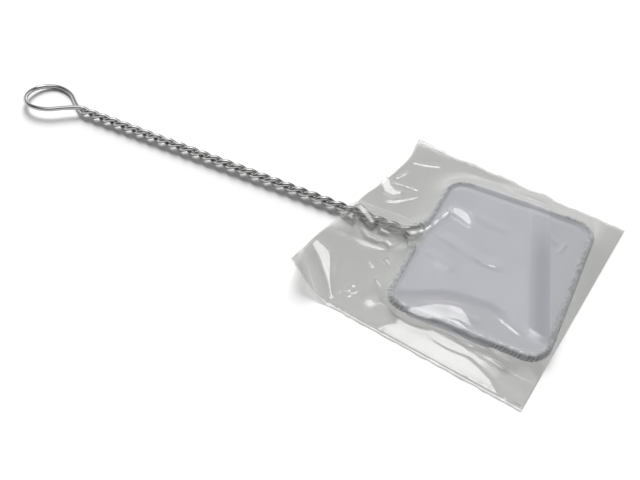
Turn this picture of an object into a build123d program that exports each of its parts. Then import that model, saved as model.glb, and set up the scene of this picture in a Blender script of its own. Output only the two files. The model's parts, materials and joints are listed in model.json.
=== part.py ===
from build123d import *

import os
from math import asin, atan, cos, degrees, hypot, radians, sin, sqrt, tan

# Aquarium fish net in millimetres. +X runs along the handle from the hanging loop to the hoop,
# +Y to the hoop's far side, +Z up. The origin is under the hoop's centre, on the surface it lies on.

# Wire and twisted handle
wire_diameter = 2.2
strand_gap = 0.1
twist_length = 175.0
twist_lay = 12.96
loop_length = 32.0
loop_radius = 10.6

# Hoop, measured along the wire's centre line
hoop_width = 76.0
hoop_length = 64.4
hoop_corner_radius = 7.5
neck_bend_radius = 16.0
hem_start_heading = 58.0

# Hem and folded net
hem_diameter = 3.6
hem_clearance = 0.05
net_thickness = 0.4
net_gap = 0.1
net_edge_overlap = 0.6
flap_side_overlap = 1.2
flap_left_inset = 3.0
fold_slant = 17.0
fold_end_margin = 13.4
fold_width = 9.6
fold_thickness = 1.6
fold_near_margin = 8.0
fold_edge_radius = 0.7

# Clear film bag round the hoop
film_thickness = 0.1
film_clearance = 0.4
net_floor_gap = 0.8
bag_turn = -7.0
bag_far_margin = 7.3
bag_near_margin = 11.6
bag_end_margin = 1.0
bag_mouth_reach = 30.0
weld_width = 1.5

# Sizes that follow from those above
wire_radius = wire_diameter / 2
strand_radius = (wire_diameter + strand_gap) / 2
hem_radius = hem_diameter / 2
axis_height = film_thickness + net_floor_gap + hem_radius
loop_tilt = degrees(asin((axis_height - wire_radius) / loop_radius))
twist_half_turns = round(2 * twist_length / twist_lay)
twist_angle = 180 * twist_half_turns - loop_tilt
strand_slope = atan(strand_radius * radians(twist_angle) / twist_length)

hoop_left = -hoop_length / 2
hoop_right = hoop_length / 2
hoop_side = hoop_width / 2
bend_center_x = hoop_left - neck_bend_radius
bend_end_y = neck_bend_radius * cos(strand_slope)
twist_end_x = bend_center_x + neck_bend_radius * sin(strand_slope)
twist_start_x = twist_end_x - twist_length

hem_top = axis_height + hem_radius
layer_bottom = hem_top + net_gap
flap_bottom = layer_bottom + net_thickness + net_gap
roll_bottom = flap_bottom + net_thickness + net_gap
roll_top = roll_bottom + fold_thickness
bag_height = roll_top + film_clearance + film_thickness

along = Vector(1, 0, 0)
across = Vector(0, 1, 0)
upward = Vector(0, 0, 1)
handle_axis = upward * axis_height

os.makedirs("parts", exist_ok=True)


def write(piece, node):
    """Label a finished piece and write it as the node of that name."""
    piece.part.label = node
    export_step(piece.part, f"parts/{node}.step")


def biarc_joint(start, start_heading, end, end_heading):
    """Where the two tangent arcs meet that run from one point and heading to another."""
    chord = end - start
    turn = 1 - start_heading.dot(end_heading)
    run = chord.dot(start_heading + end_heading)
    reach = (sqrt(run**2 + 2 * turn * chord.dot(chord)) - run) / (2 * turn)
    return (start + end + (start_heading - end_heading) * reach) * 0.5


def smooth_run(stations):
    """Draw pairs of tangent arcs through stations of a point and a heading."""
    for (start, heading), (end, end_heading) in zip(stations, stations[1:]):
        middle = biarc_joint(start, heading, end, end_heading)
        first = TangentArc(start, middle, tangent=heading)
        TangentArc(middle, end, tangent=first % 1)


def strand_station(turned, phase):
    """Point and heading on a strand that has turned so many degrees from the loop, left-handed."""
    angle = radians(90 - loop_tilt + phase - turned)
    outward = across * cos(angle) + upward * sin(angle)
    sideways = across * sin(angle) - upward * cos(angle)
    place = along * (twist_start_x + twist_length * turned / twist_angle)
    point = handle_axis + place + outward * strand_radius
    return point, along * cos(strand_slope) + sideways * sin(strand_slope)


def round_wire(path):
    """The wire, swept along a path of lines and tangent arcs."""
    with BuildPart() as wire:
        with BuildSketch(Plane(origin=path @ 0, z_dir=path % 0)):
            Circle(wire_radius)
        sweep(path=path)
    return wire


# Two strands of the handle, on quarter turns of the twist
quarter_turns = 2 * twist_half_turns
strand_paths = {}
for node, phase in (("near_strand", 0), ("far_strand", 180)):
    turned = [twist_angle * step / quarter_turns for step in range(quarter_turns + 1)]
    with BuildLine() as strand_path:
        smooth_run([strand_station(angle, phase) for angle in turned])
    strand_paths[node] = strand_path.wire()
    write(round_wire(strand_paths[node]), node)

gap_samples = 400
least_spacing = min(
    (strand_paths["far_strand"] @ place - strand_paths["near_strand"] @ place).length
    for place in [step / gap_samples for step in range(gap_samples + 1)]
)
print("least gap between the strands", round(least_spacing - wire_diameter, 3))

# Hanging loop, tilted so that its far side lies on the surface and its near side stands clear
loop_outward = -along
loop_sideways = -across * cos(radians(loop_tilt)) + upward * sin(radians(loop_tilt))
loop_start = handle_axis + along * twist_start_x
loop_center = loop_start + loop_outward * (loop_length - loop_radius)
loop_tip = loop_start + loop_outward * loop_length
near_point, near_heading = strand_station(0, 0)
far_point, far_heading = strand_station(0, 180)
with BuildLine() as loop_path:
    smooth_run(
        [
            (near_point, -near_heading),
            (loop_center + loop_sideways * loop_radius, loop_outward),
            (loop_tip, -loop_sideways),
            (loop_center - loop_sideways * loop_radius, -loop_outward),
            (far_point, far_heading),
        ]
    )
write(round_wire(loop_path.wire()), "hanging_loop")

# Neck legs, from the end of the twist down to the level of the hoop
hem_start = radians(hem_start_heading)
hem_start_x = bend_center_x + neck_bend_radius * sin(hem_start)
hem_start_y = bend_end_y - neck_bend_radius * cos(hem_start)
for node, side in (("far_neck_leg", 1), ("near_neck_leg", -1)):
    leg_start = handle_axis + along * twist_end_x + upward * side * strand_radius
    leg_end = handle_axis + along * hem_start_x + across * side * hem_start_y
    leg_heading = along * cos(strand_slope) + across * side * sin(strand_slope)
    hem_heading = along * cos(hem_start) + across * side * sin(hem_start)
    with BuildLine() as leg_path:
        smooth_run([(leg_start, leg_heading), (leg_end, hem_heading)])
    write(round_wire(leg_path.wire()), node)

# Hoop wire and the hem sewn round it
with BuildLine(Plane.XY.offset(axis_height)) as hoop_path:
    CenterArc(
        center=(bend_center_x, bend_end_y),
        radius=neck_bend_radius,
        start_angle=hem_start_heading - 90,
        arc_size=90 - hem_start_heading,
    )
    FilletPolyline(
        (hoop_left, bend_end_y),
        (hoop_left, hoop_side),
        (hoop_right, hoop_side),
        (hoop_right, -hoop_side),
        (hoop_left, -hoop_side),
        (hoop_left, -bend_end_y),
        radius=hoop_corner_radius,
    )
    CenterArc(
        center=(bend_center_x, -bend_end_y),
        radius=neck_bend_radius,
        start_angle=0,
        arc_size=90 - hem_start_heading,
    )

hoop_line = hoop_path.wire()

write(round_wire(hoop_line), "hoop_wire")

with BuildPart() as hem_sleeve:
    with BuildSketch(Plane(origin=hoop_line @ 0, z_dir=hoop_line % 0)):
        Circle(hem_radius)
        Circle(wire_radius + hem_clearance, mode=Mode.SUBTRACT)
    sweep(path=hoop_line)
write(hem_sleeve, "hem_sleeve")

# Lower layer of the net, stretched over the top of the hem
with BuildPart() as net_lower_layer:
    with BuildSketch(Plane.XY.offset(layer_bottom)):
        RectangleRounded(
            hoop_length + 2 * net_edge_overlap,
            hoop_width + 2 * net_edge_overlap,
            hoop_corner_radius + net_edge_overlap,
        )
    extrude(amount=net_thickness)
write(net_lower_layer, "net_lower_layer")

# Upper layer, the pocket laid back over the hoop as far as its slanted fold
flap_left = hoop_left + flap_left_inset
fold_center_x = hoop_right - fold_end_margin
flap_side = hoop_side + flap_side_overlap
fold_right_x = fold_center_x + fold_width / 2 / cos(radians(fold_slant))
fold_drift = tan(radians(fold_slant))
roll_near_y = -hoop_side + fold_near_margin
with BuildPart() as net_upper_layer:
    with BuildSketch(Plane.XY.offset(flap_bottom)):
        with BuildLine():
            Polyline(
                (flap_left, -flap_side),
                (flap_left, flap_side),
                (fold_right_x - fold_drift * flap_side, flap_side),
                (fold_right_x - fold_drift * roll_near_y, roll_near_y),
                (fold_right_x - fold_drift * roll_near_y - fold_width, -flap_side),
                close=True,
            )
        make_face()
    extrude(amount=net_thickness)
write(net_upper_layer, "net_upper_layer")

# Rolled fold that ends the pocket, lying on the upper layer
roll_far_y = hoop_side
roll_slope = Vector(-sin(radians(fold_slant)), cos(radians(fold_slant)), 0)
roll_start = Vector(fold_center_x - fold_drift * roll_near_y, roll_near_y, roll_bottom)
roll_length = (roll_far_y - roll_near_y) / cos(radians(fold_slant))
with BuildPart() as net_fold_roll:
    with BuildSketch(Plane(origin=roll_start, x_dir=upward.cross(roll_slope), z_dir=roll_slope)):
        with Locations((0, fold_thickness / 2)):
            RectangleRounded(fold_width, fold_thickness, fold_edge_radius)
    extrude(amount=roll_length)
write(net_fold_roll, "net_fold_roll")

# Bag of flat film panels, prismatic along the way it pulls off
bag_plane = Plane.XY.rotated((0, 0, bag_turn))
turn_cos = abs(cos(radians(bag_turn)))
turn_sin = abs(sin(radians(bag_turn)))
straight_x = hoop_length / 2 - hoop_corner_radius
straight_y = hoop_width / 2 - hoop_corner_radius
corner_reach = hoop_corner_radius + hem_radius
hoop_reach_x = straight_x * turn_cos + straight_y * turn_sin + corner_reach
hoop_reach_y = straight_x * turn_sin + straight_y * turn_cos + corner_reach
bag_mouth_x = -hoop_reach_x - bag_mouth_reach
roof_margin = film_clearance + film_thickness


def side_edges(margin, reach, inset):
    """Foot and eave of a sloping side, moved inwards by an inset at right angles to the film."""
    slope = (margin - roof_margin) / bag_height
    foot = reach + margin - inset * (slope + hypot(1, slope))
    eave = reach + roof_margin + inset * (slope - hypot(1, slope))
    return foot, eave


def bag_corners(inset):
    """Corners of the bag by name, on its outside or on its inside."""
    far_foot, far_eave = side_edges(bag_far_margin, hoop_reach_y, inset)
    near_foot, near_eave = side_edges(bag_near_margin, hoop_reach_y, inset)
    end_foot, end_eave = side_edges(bag_end_margin, hoop_reach_x, inset)
    floor, roof = inset, bag_height - inset
    corners = {
        "mouth_far_foot": (bag_mouth_x, far_foot, floor),
        "mouth_near_foot": (bag_mouth_x, -near_foot, floor),
        "end_far_foot": (end_foot, far_foot, floor),
        "end_near_foot": (end_foot, -near_foot, floor),
        "mouth_far_eave": (bag_mouth_x, far_eave, roof),
        "mouth_near_eave": (bag_mouth_x, -near_eave, roof),
        "end_far_eave": (end_eave, far_eave, roof),
        "end_near_eave": (end_eave, -near_eave, roof),
    }
    return {name: bag_plane.from_local_coords(Vector(*corner)) for name, corner in corners.items()}


bag_panels = {
    "bag_lower_film": ("mouth_near_foot", "end_near_foot", "end_far_foot", "mouth_far_foot"),
    "bag_upper_film": ("mouth_near_eave", "end_near_eave", "end_far_eave", "mouth_far_eave"),
    "bag_far_side": ("mouth_far_foot", "end_far_foot", "end_far_eave", "mouth_far_eave"),
    "bag_near_side": ("mouth_near_foot", "end_near_foot", "end_near_eave", "mouth_near_eave"),
    "bag_closed_end": ("end_near_foot", "end_far_foot", "end_far_eave", "end_near_eave"),
}
outside = bag_corners(0)
inside = bag_corners(film_thickness)
for node, names in bag_panels.items():
    with BuildPart() as panel:
        for surface in (outside, inside):
            corners = [surface[name] for name in names]
            edge = corners[1] - corners[0]
            panel_plane = Plane(corners[0], x_dir=edge, z_dir=edge.cross(corners[3] - corners[0]))
            with BuildSketch(panel_plane):
                with BuildLine():
                    Polyline([panel_plane.to_local_coords(corner) for corner in corners], close=True)
                make_face()
        loft(ruled=True)
    write(panel, node)

# Welded seams along the bag's two long edges, two films thick
bag_length = hoop_reach_x + bag_end_margin - bag_mouth_x
for node, edge_y in (
    ("bag_far_weld", hoop_reach_y + bag_far_margin),
    ("bag_near_weld", -hoop_reach_y - bag_near_margin - weld_width),
):
    with BuildPart() as weld:
        with BuildSketch(bag_plane):
            with Locations((bag_mouth_x + bag_length / 2, edge_y + weld_width / 2)):
                Rectangle(bag_length, weld_width)
        extrude(amount=2 * film_thickness)
    write(weld, node)
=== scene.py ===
"""Looks of a small aquarium fish net, folded flat in its clear film bag."""

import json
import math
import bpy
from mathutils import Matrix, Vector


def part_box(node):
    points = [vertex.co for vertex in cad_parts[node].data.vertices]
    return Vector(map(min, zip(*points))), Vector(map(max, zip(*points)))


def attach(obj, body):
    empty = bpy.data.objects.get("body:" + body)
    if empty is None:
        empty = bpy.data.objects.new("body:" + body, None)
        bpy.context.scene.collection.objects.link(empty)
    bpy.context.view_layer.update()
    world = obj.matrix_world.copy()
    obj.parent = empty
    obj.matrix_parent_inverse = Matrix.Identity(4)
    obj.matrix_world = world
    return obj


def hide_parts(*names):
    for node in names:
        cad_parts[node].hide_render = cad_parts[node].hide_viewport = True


bl_info = {
    "name": "Aquarium fish net",
    "version": (1, 0, 0),
    "blender": (4, 5, 0),
    "location": "View3D > Sidebar > Fish net",
    "description": "Plated wire, sewn hem, folded mesh pocket and clear film bag of a fish net",
    "category": "Add Mesh",
}

import bmesh
import bpy
import numpy as np
from mathutils import Vector

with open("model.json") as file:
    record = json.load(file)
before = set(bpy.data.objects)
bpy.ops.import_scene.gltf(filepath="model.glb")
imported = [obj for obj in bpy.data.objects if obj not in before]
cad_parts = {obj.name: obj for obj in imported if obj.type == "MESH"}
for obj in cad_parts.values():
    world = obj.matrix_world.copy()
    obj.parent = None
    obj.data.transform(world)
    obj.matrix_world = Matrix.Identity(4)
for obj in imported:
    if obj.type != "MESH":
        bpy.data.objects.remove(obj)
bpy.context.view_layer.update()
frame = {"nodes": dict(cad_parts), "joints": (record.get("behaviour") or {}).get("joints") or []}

# Shapes are worked out in millimetres and scaled to metres when a mesh is made
MM = 0.001

SOFT_PIECES = ("hem_binding", "hem_thread", "net_layer", "net_flap", "hoop_wire")
WIRE_NODES = ("hanging_loop", "far_neck_leg", "near_neck_leg", "hoop_wire")

# Sizes read from the frame
hem_low, hem_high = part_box("hem_sleeve")
wire_low, wire_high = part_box("hoop_wire")
strand_low, strand_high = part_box("near_strand")
HEM_RADIUS = (hem_high.z - hem_low.z) / 2 / MM
WIRE_RADIUS = (wire_high.z - wire_low.z) / 2 / MM
AXIS_HEIGHT = (hem_high.z + hem_low.z) / 2 / MM
HOOP_X = hem_high.x / MM - HEM_RADIUS
HOOP_Y = hem_high.y / MM - HEM_RADIUS
HEM_TOP = hem_high.z / MM
STRAND_RADIUS = (strand_high.z - strand_low.z) / 2 / MM - WIRE_RADIUS

# Bends of the wire, as they are in the frame
CORNER_RADIUS = 7.5
NECK_BEND_RADIUS = 16.0
HEM_START_HEADING = math.radians(58.0)
TWIST_LENGTH = 175.0
TWIST_HALF_TURNS = 27
LOOP_RADIUS = 10.6
LOOP_TILT = math.asin((AXIS_HEIGHT - WIRE_RADIUS) / LOOP_RADIUS)
TWIST_ANGLE = math.pi * TWIST_HALF_TURNS - LOOP_TILT
STRAND_SLOPE = math.atan(STRAND_RADIUS * TWIST_ANGLE / TWIST_LENGTH)
NECK_BEND_X = -HOOP_X - NECK_BEND_RADIUS
NECK_BEND_Y = NECK_BEND_RADIUS * math.cos(STRAND_SLOPE)
TWIST_END_X = NECK_BEND_X + NECK_BEND_RADIUS * math.sin(STRAND_SLOPE)

# The bag's own axes: along it to the closed end, and across it to the far seam
bag_slide = frame["joints"][0]["axis"]
ALONG = np.array(bag_slide[:2]) / math.hypot(*bag_slide[:2])
ACROSS = np.array([-ALONG[1], ALONG[0]])


def bag_reach(name):
    """Lowest and highest place of a node along and across the bag."""
    corners = np.array([vertex.co[:2] for vertex in frame["nodes"][name].data.vertices]) / MM
    along, across = corners @ ALONG, corners @ ACROSS
    return along.min(), along.max(), across.min(), across.max()


_, BAG_END, FAR_SEAM, FAR_EDGE = bag_reach("bag_far_weld")
_, _, NEAR_EDGE, NEAR_SEAM = bag_reach("bag_near_weld")

# Folded pocket, in the row frame: its slanted fold and the outline of its upper layer
FOLD_RIGHT_X = 23.7
FOLD_DRIFT = math.tan(math.radians(16.0))
FOLD_WIDTH = 9.8
FOLD_LIP = 0.8
FOLD_EASE = 2.6
FOLD_RISE = 0.35
FOLD_CROWN = 0.12
FOLD_EDGE_RADIUS = 0.5
FOLD_RETURN = 0.8 * FOLD_WIDTH
FLAP_LEFT_X = -29.6
FLAP_NEAR = [(-31, -34.2), (-26.0, -32.6), (-19.1, -29.3), (-13.8, -26.3), (-8, -24.7), (-2.5, -23.8),
             (6.1, -23.3), (10.6, -24.2), (14.8, -25.8), (22, -29.0), (34, -31.0)]
FLAP_FAR = [(-31, 34.0), (-25, 35.4), (-22.0, 37.2), (-18, 38.9), (0, 39.1), (9, 38.9), (12, 37.2),
            (34, 36.4)]
FLAP_EDGE_DROP = 0.25
FLAP_EDGE_REACH = 3.2
FLAP_GAP = 0.1

# Ridges of the two layers: a path, a height and the widths of the near and far flanks
FLAP_RIDGES = [
    {"path": [(-29, 3.2), (-25, 2.0), (-15.5, -0.6), (-6.1, -3.1), (1.2, -3.0), (8.5, -2.4)],
     "height": 0.55, "near": 2.0, "far": 5.0},
    {"path": [(-29, -7.6), (-25.0, -9.2), (-19.7, -11.3), (-12.1, -13.9)],
     "height": 0.4, "near": 1.6, "far": 4.0},
    {"path": [(-20, 21.5), (-8, 18.5), (3, 19.0)],
     "height": 0.25, "near": 3.0, "far": 4.0},
    {"path": [(15.1, -3.2), (16.2, -7.8), (17.3, -12.3)],
     "height": -0.4, "near": 0.6, "far": 0.6},
]
LAYER_RIDGES = [
    {"path": [(15.0, 24.6), (18.4, 22.2), (21.1, 19.2)], "height": 0.5, "near": 0.9, "far": 2.0},
    {"path": [(22.4, 14.8), (23.4, 18.5), (24.3, 23.3)], "height": 0.45, "near": 0.9, "far": 2.0},
    {"path": [(-22, -35.0), (-8, -32.0), (8, -32.5)], "height": 0.5, "near": 2.5, "far": 2.5},
]
RIDGE_RUN_OUT = 0.22

# Lie of the two layers over the hoop, with their waves as a height, a pitch and a seed
LAYER_EDGE = 1.1
LAYER_HEIGHT = HEM_TOP - 0.2
LAYER_COVER = HEM_RADIUS + 0.15
LAYER_WAVE = (0.08, 9.0, 3)
FLAP_HEIGHT = HEM_TOP + 0.15
FLAP_COVER = HEM_RADIUS + 0.4
FLAP_WAVE = (0.10, 11.0, 5)
NET_SAG = 0.4
NET_SAG_REACH = 30.0

# Dip of both layers just inside the far rail
GROOVE_PLACE = 2.4
GROOVE_DEPTH = 0.5
GROOVE_FLANKS = (1.2, 3.0)
GROOVE_START_Y = 30
GROOVE_EASE = 3

# Stretch of the lower layer that is drawn over the near rail
APRON_LEFT_X = -27
APRON_RIGHT_X = 17
APRON_SIDE_EASE = 7
APRON_START_Y = -30
APRON_EASE = 8
APRON_REACH = 3.9
APRON_WAVE = (0.4, 8.0, 7)
APRON_RISE = 0.25
APRON_TOP_WIDTH = 0.3

# How dense the two layers look, with painted shade: plain, what the near rail takes off, and what the fold
# (more layers and a painted roll shade) and the painted shade along the flap's near edge add
LAYER_DENSITY_AND_SHADE = {"plain": 0.5, "rail": 0.2, "edge": 0.35}
FLAP_DENSITY_AND_SHADE = {"plain": 0.2, "fold": 0.8, "edge": 0.62}
RAIL_START_Y = -35.5
RAIL_EASE = 1.5
FOLD_FADE = 0.7
FOLD_FADE_Y = 6
FOLD_FADE_EASE = 26
FOLD_DARK_EASE = 3.0
FOLD_DARK_PLACE = 3.4
FOLD_DARK_WIDTH = 3.2
EDGE_SHADE_REACH = {"layer": 3.0, "flap": 3.5}
EDGE_SHADE_X = 15
EDGE_SHADE_EASE = 6

# Steps of the grids of the lower layer, the flap and the film
LAYER_STEPS = 121
FLAP_STEPS = (121, 141)
FILM_STEPS = (205, 205)

# The mouth's edge, with the place across the bag first and the place along it second
MOUTH_EDGE = [(-75, -69.5), (NEAR_EDGE, -70.5), (-40, -71.5), (-30, -71.5), (-20, -70.0), (-12, -67.4),
              (-5, -67.2), (5, -66.8), (12, -65.2), (20, -63.8), (28, -62.8), (39, -62.2),
              (FAR_EDGE, -64.5), (70, -65.0)]

# Creases of the film, as ridges in the bag's own axes
FILM_CREASES = [
    {"path": [(-64.4, 19.1), (-57.4, 20.8), (-50.1, 21.8), (-43.2, 23.4)],
     "height": 0.27, "near": 1.6, "far": 2.5},
    {"path": [(-63.6, 14.2), (-60.2, 10.4), (-55.6, 8.9), (-50.4, 13.2), (-42.6, 22.3)],
     "height": 0.26, "near": 1.5, "far": 2.0},
    {"path": [(-61.0, 36.0), (-54.1, 38.2), (-44.7, 42.2)], "height": 0.3, "near": 1.7, "far": 2.4},
    {"path": [(-62.2, -6.0), (-55.8, -9.6), (-49.6, -13.1)], "height": 0.5, "near": 2.6, "far": 2.6},
    {"path": [(-66.5, -5.4), (-61.8, -11.5), (-57.4, -17.4)], "height": 0.35, "near": 0.8, "far": 1.0},
    {"path": [(-38.4, -8.6), (-34.0, -5.1), (-31.6, -2.4), (-30.6, 1.0), (-29.8, 5.0), (-29.3, 10.4),
              (-28.0, 15.0)], "height": 0.8, "near": 1.4, "far": 2.0},
    {"path": [(-2.6, -37.4), (2.8, -36.0), (8.6, -38.0)], "height": 0.14, "near": 1.1, "far": 1.5},
    {"path": [(12.6, -24.6), (19.4, -26.6), (26.2, -28.4)], "height": 0.11, "near": 1.0, "far": 1.5},
    {"path": [(0.4, -40.2), (3.8, -40.7), (7.2, -40.9)], "height": 0.12, "near": 0.9, "far": 1.5},
    {"path": [(10.5, -37.6), (20.0, -39.2), (29.5, -42.4)], "height": 0.12, "near": 1.0, "far": 1.8},
    {"path": [(-15, 44.2), (0, 45.6), (14, 45.2), (26, 46.4)], "height": 0.4, "near": 1.6, "far": 2.2},
]

# Flat folds of the film that catch the light: an outline, the slope along and across the bag, the height
# at the outline's first point and the width of the soft edge
FILM_FOLDS = {
    "far mouth": {
        "outline": [(-65.1, 19.5), (-64.6, 14.4), (-60.4, 11.0), (-55.8, 11.1), (-52.3, 14.2),
                    (-53.2, 17.5), (-55.8, 15.7), (-58.6, 16.9), (-61.4, 19.7)],
        "slope": (-0.08, 0.145), "height": 2.5, "soft": 1.0},
    "band over the handle": {
        "outline": [(-64.8, -7.0), (-62.2, -4.6), (-57.1, -6.2), (-51.0, -9.2), (-52.0, -12.6),
                    (-58.2, -10.6)],
        "slope": (-0.07, 0.115), "height": 6.5, "soft": 1.2},
    "corner beside the handle": {
        "outline": [(-66.0, -13.8), (-62.9, -8.8), (-60.0, -14.6)],
        "slope": (-0.07, 0.115), "height": 4.8, "soft": 1.0},
    "strip beside the handle": {
        "outline": [(-57.1, -13.9), (-52.7, -14.4), (-44.6, -14.5), (-46.4, -16.4), (-52.2, -16.9)],
        "slope": (-0.05, 0.1), "height": 2.4, "soft": 1.4},
    "step beside the neck": {
        "outline": [(-50.2, -9.4), (-46.0, -8.8), (-42.6, -8.4), (-43.6, -11.4), (-48.6, -12.6)],
        "slope": (-0.05, 0.095), "height": 3.7, "soft": 1.4},
    "blade over the net": {
        "outline": [(-28.2, 12.9), (-28.9, 16.8), (-24.3, 18.5), (-20.0, 17.8), (-15.9, 13.5),
                    (-16.9, 10.7), (-22.4, 11.9)],
        "slope": (-0.055, 0.12), "height": 5.9, "soft": 2.0},
    "arch over the near rail": {
        "outline": [(-19.6, -44.0), (-17.3, -40.0), (-12.8, -35.2), (-8.5, -31.4), (-2.9, -28.8),
                    (1.0, -28.2), (5.9, -31.8), (11.2, -39.1), (8.9, -39.4), (2.9, -36.1), (-1.5, -36.2),
                    (-4.5, -38.8), (-7.6, -42.7), (-12.4, -44.0)],
        "slope": (-0.024, 0.058), "height": 4.95, "soft": 2.6},
    "sail along the near seam": {
        "outline": [(-24.5, -55.2), (-22.6, -50.2), (-19.6, -47.6), (-20.2, -43.2), (-16.1, -41.8),
                    (-9.7, -44.4), (-2.3, -46.6), (4.0, -46.8), (12.0, -45.7), (17.8, -47.1),
                    (23.9, -49.3), (31.6, -55.2)],
        "slope": (0.0, 0.068), "height": 0.14, "soft": 0.9},
    "near mouth": {
        "outline": [(-69.8, -35.2), (-63.6, -38.8), (-56.4, -44.3), (-47.6, -51.6), (-46.6, -50.6),
                    (-51.6, -43.3), (-55.2, -37.1), (-59.0, -31.9), (-69.4, -29.2)],
        "slope": (-0.09, 0.072), "height": 3.5, "soft": 2.4},
}

# Short narrow folds: start, end, width and slope
MOUTH_SLOPE = (-0.07, 0.11)
NECK_SLOPE = (-0.047, 0.131)
RAIL_SLOPE = (0.03, 0.09)
FILM_DASHES = [
    ((-64.2, 12.6), (-61.4, 20.0), 2.2, MOUTH_SLOPE),
    ((-60.8, 21.2), (-57.2, 28.6), 2.2, MOUTH_SLOPE),
    ((-44.5, -14.0), (-40.2, -15.1), 1.8, MOUTH_SLOPE),
    ((-45.0, -26.4), (-41.2, -28.4), 1.8, MOUTH_SLOPE),
    ((-39.0, -22.8), (-32.6, -26.6), 2.2, MOUTH_SLOPE),
    ((-36.6, -34.7), (-30.2, -38.2), 2.2, MOUTH_SLOPE),
    ((-36.9, -7.4), (-34.2, -5.2), 2.8, NECK_SLOPE),
    ((-34.0, -5.0), (-31.7, -2.4), 2.8, NECK_SLOPE),
    ((-31.6, -2.2), (-30.5, 2.0), 2.8, NECK_SLOPE),
    ((-30.4, 2.4), (-29.6, 7.0), 2.8, NECK_SLOPE),
    ((-29.6, 7.4), (-28.4, 13.2), 2.8, NECK_SLOPE),
    ((12.0, -37.6), (26.4, -40.8), 1.2, RAIL_SLOPE),
    ((5.0, -41.4), (12.0, -41.6), 1.3, RAIL_SLOPE),
    ((12.4, -41.8), (26.0, -43.0), 1.9, RAIL_SLOPE),
]
DASH_LIFT = 0.4
DASH_SOFT = 0.7

# Room that the film keeps over what it covers, its height where it is welded, and its highest place
# over the hoop, where nothing holds it down
FILM_FLOOR = 0.16
FILM_CLEAR = 0.15
INSIDE_HEM = 0.6 * HEM_RADIUS
NECK_CLEAR = 0.65
HOOP_GAP = 0.25
HANDLE_GAP = 0.3
HANDLE_HALF_WIDTH = 2.2
SEAM_HEIGHT = 0.2
FREE_HEIGHT = 20.0

# Places round the neck where the hem is open and the two legs of the wire part
HEM_OPEN_X = -HOOP_X + 2
HEM_OPEN_Y = NECK_BEND_Y - 4
LEG_END_X = -HOOP_X + 1
LEG_REACH = 1.5
LEG_CURVE = 1.5

# Fall of the film from the hoop and from the handle, per millimetre, and the rounded foot of that slope
HOOP_FALL = 0.52
HANDLE_FALL = {"near": 0.56, "far": 0.75}
FOOT_HEIGHT = 0.3
FOOT_ROUND = 1.0

# The film falls less where it is tight, on the far side and from this place to the closed end
FAR_FALL = 0.4
TAUT_START = -19
TAUT_EASE = 4
TAUT_WIDTH = 10

# Settling of the film: lift at the start, sweeps, how far each sweep goes, and softening after it
FIRST_LIFT = 0.5
SETTLE_SWEEPS = 420
SETTLE_SPEED = 1.93
SOFTENING_PASSES = 2

# Film between the near rail and the near seam: its upper edge, how it slopes and where it ends
SAIL_EDGE = [(-60, -54.0), (-26, -53.9), (-22.5, -50.0), (-20.0, -41.0), (-13.8, -41.3), (-6.7, -43.0),
             (0, -43.4), (7.2, -43.6), (14.8, -45.2), (19.6, -46.5), (25.0, -49.1), (32.3, -53.3),
             (60, -54.0)]
SAIL_SLOPE = 0.08
SAIL_FALL = 0.02
SAIL_TOP = -41.5
SAIL_LEFT = -30

# Rows and column of the film's grid that are welded or folded: near seam, far seam and closed end
FILM_EDGES = (np.s_[0, :], np.s_[-1, :], np.s_[:, -1])

# Waves of the film: height where it is tight, what slack adds to it, pitch and seed
FILM_WAVES = ((0.05, 0.04, 6.0, 11), (0.05, 0.15, 19.0, 12))
SLACK_START = -30
SLACK_EASE = 10
BORDER_EASE = 4.0

# Crinkles at one spot near the mouth and along the near seam
CRINKLE_PLACE = (-42.6, -44.5)
CRINKLE_RADIUS = 2
CRINKLE_EASE = 4
CRINKLE_HEIGHT = 0.22
CRINKLE_PITCH = 1.4
CRINKLE_SEED = 13
PUCKER_HEIGHT = 0.08
PUCKER_PITCH = 1.7
PUCKER_SEED = 14
PUCKER_REACH = 3.5
PUCKER_EASE = 0.8

# Film that stands up at the mouth, and film that is crumpled and milkier beside the handle's near side
STANDING_START = -40
STANDING_EASE = 8
STANDING_FOOT = 1.5
STANDING_RISE = 5
CRUMPLED_START_Y = -3.6
CRUMPLED_START_EASE = 2
CRUMPLED_END_Y = -14
CRUMPLED_END_EASE = 6
CRUMPLED_RIGHT_X = -HOOP_X - 1
CRUMPLED_FLOOR = 0.3
CRUMPLED_HAZE = 3.0

# Wandering line of the far seam, with its waves as a height, a pitch and a seed
SEAM_WAVES = ((0.55, 8.5, 41), (0.25, 3.7, 42))
DRIFT_START = 38
DRIFT_WIDTH = 12
DRIFT_END = BAG_END - 1
DRIFT_END_EASE = 8

# Lower film, which rises to the seams, and how close points of the two films are made one
LOWER_HEIGHT = 0.05
LOWER_WAVE = (0.03, 15.0, 21)
LOWER_EASE = 2.5
SAME_PLACE = 0.01

# Welded strips: how ragged the cut edge is, the height of the bead, and where it turns darker outwards
WELD_STEPS = 7
RAGGED_SHARE = 0.18
RAGGED_PITCH = 2.3
BEAD_OUTER = 0.08
BEAD_CROWN = 0.07
SCALLOP_PITCH = 1.7
WELD_DARK_START = 0.45
WELD_DARK_EASE = 0.3

# Corners of the mouth that curl up round a hinge line
NEAR_CORNER_HINGE = ((-43.5, -56.0), (-73.0, -31.0))
NEAR_CORNER_LIFT = math.radians(58.0)
FAR_CORNER_HINGE = ((-66.0, 26.0), (-45.5, 49.0))
FAR_CORNER_LIFT = math.radians(5.0)
CORNER_BEND_RADIUS = 8.0


class FishNetWire(bpy.types.PropertyGroup):
    """Plated wire of the handle, loop and hoop."""

    color: bpy.props.FloatVectorProperty(
        name="Plating colour", description="Colour that the plated wire reflects",
        subtype="COLOR", size=4, min=0.0, max=1.0, default=(0.47, 0.47, 0.465, 1.0))
    roughness: bpy.props.FloatProperty(
        name="Roughness", description="How dull the plating is",
        subtype="FACTOR", min=0.0, max=1.0, default=0.16)


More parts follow.
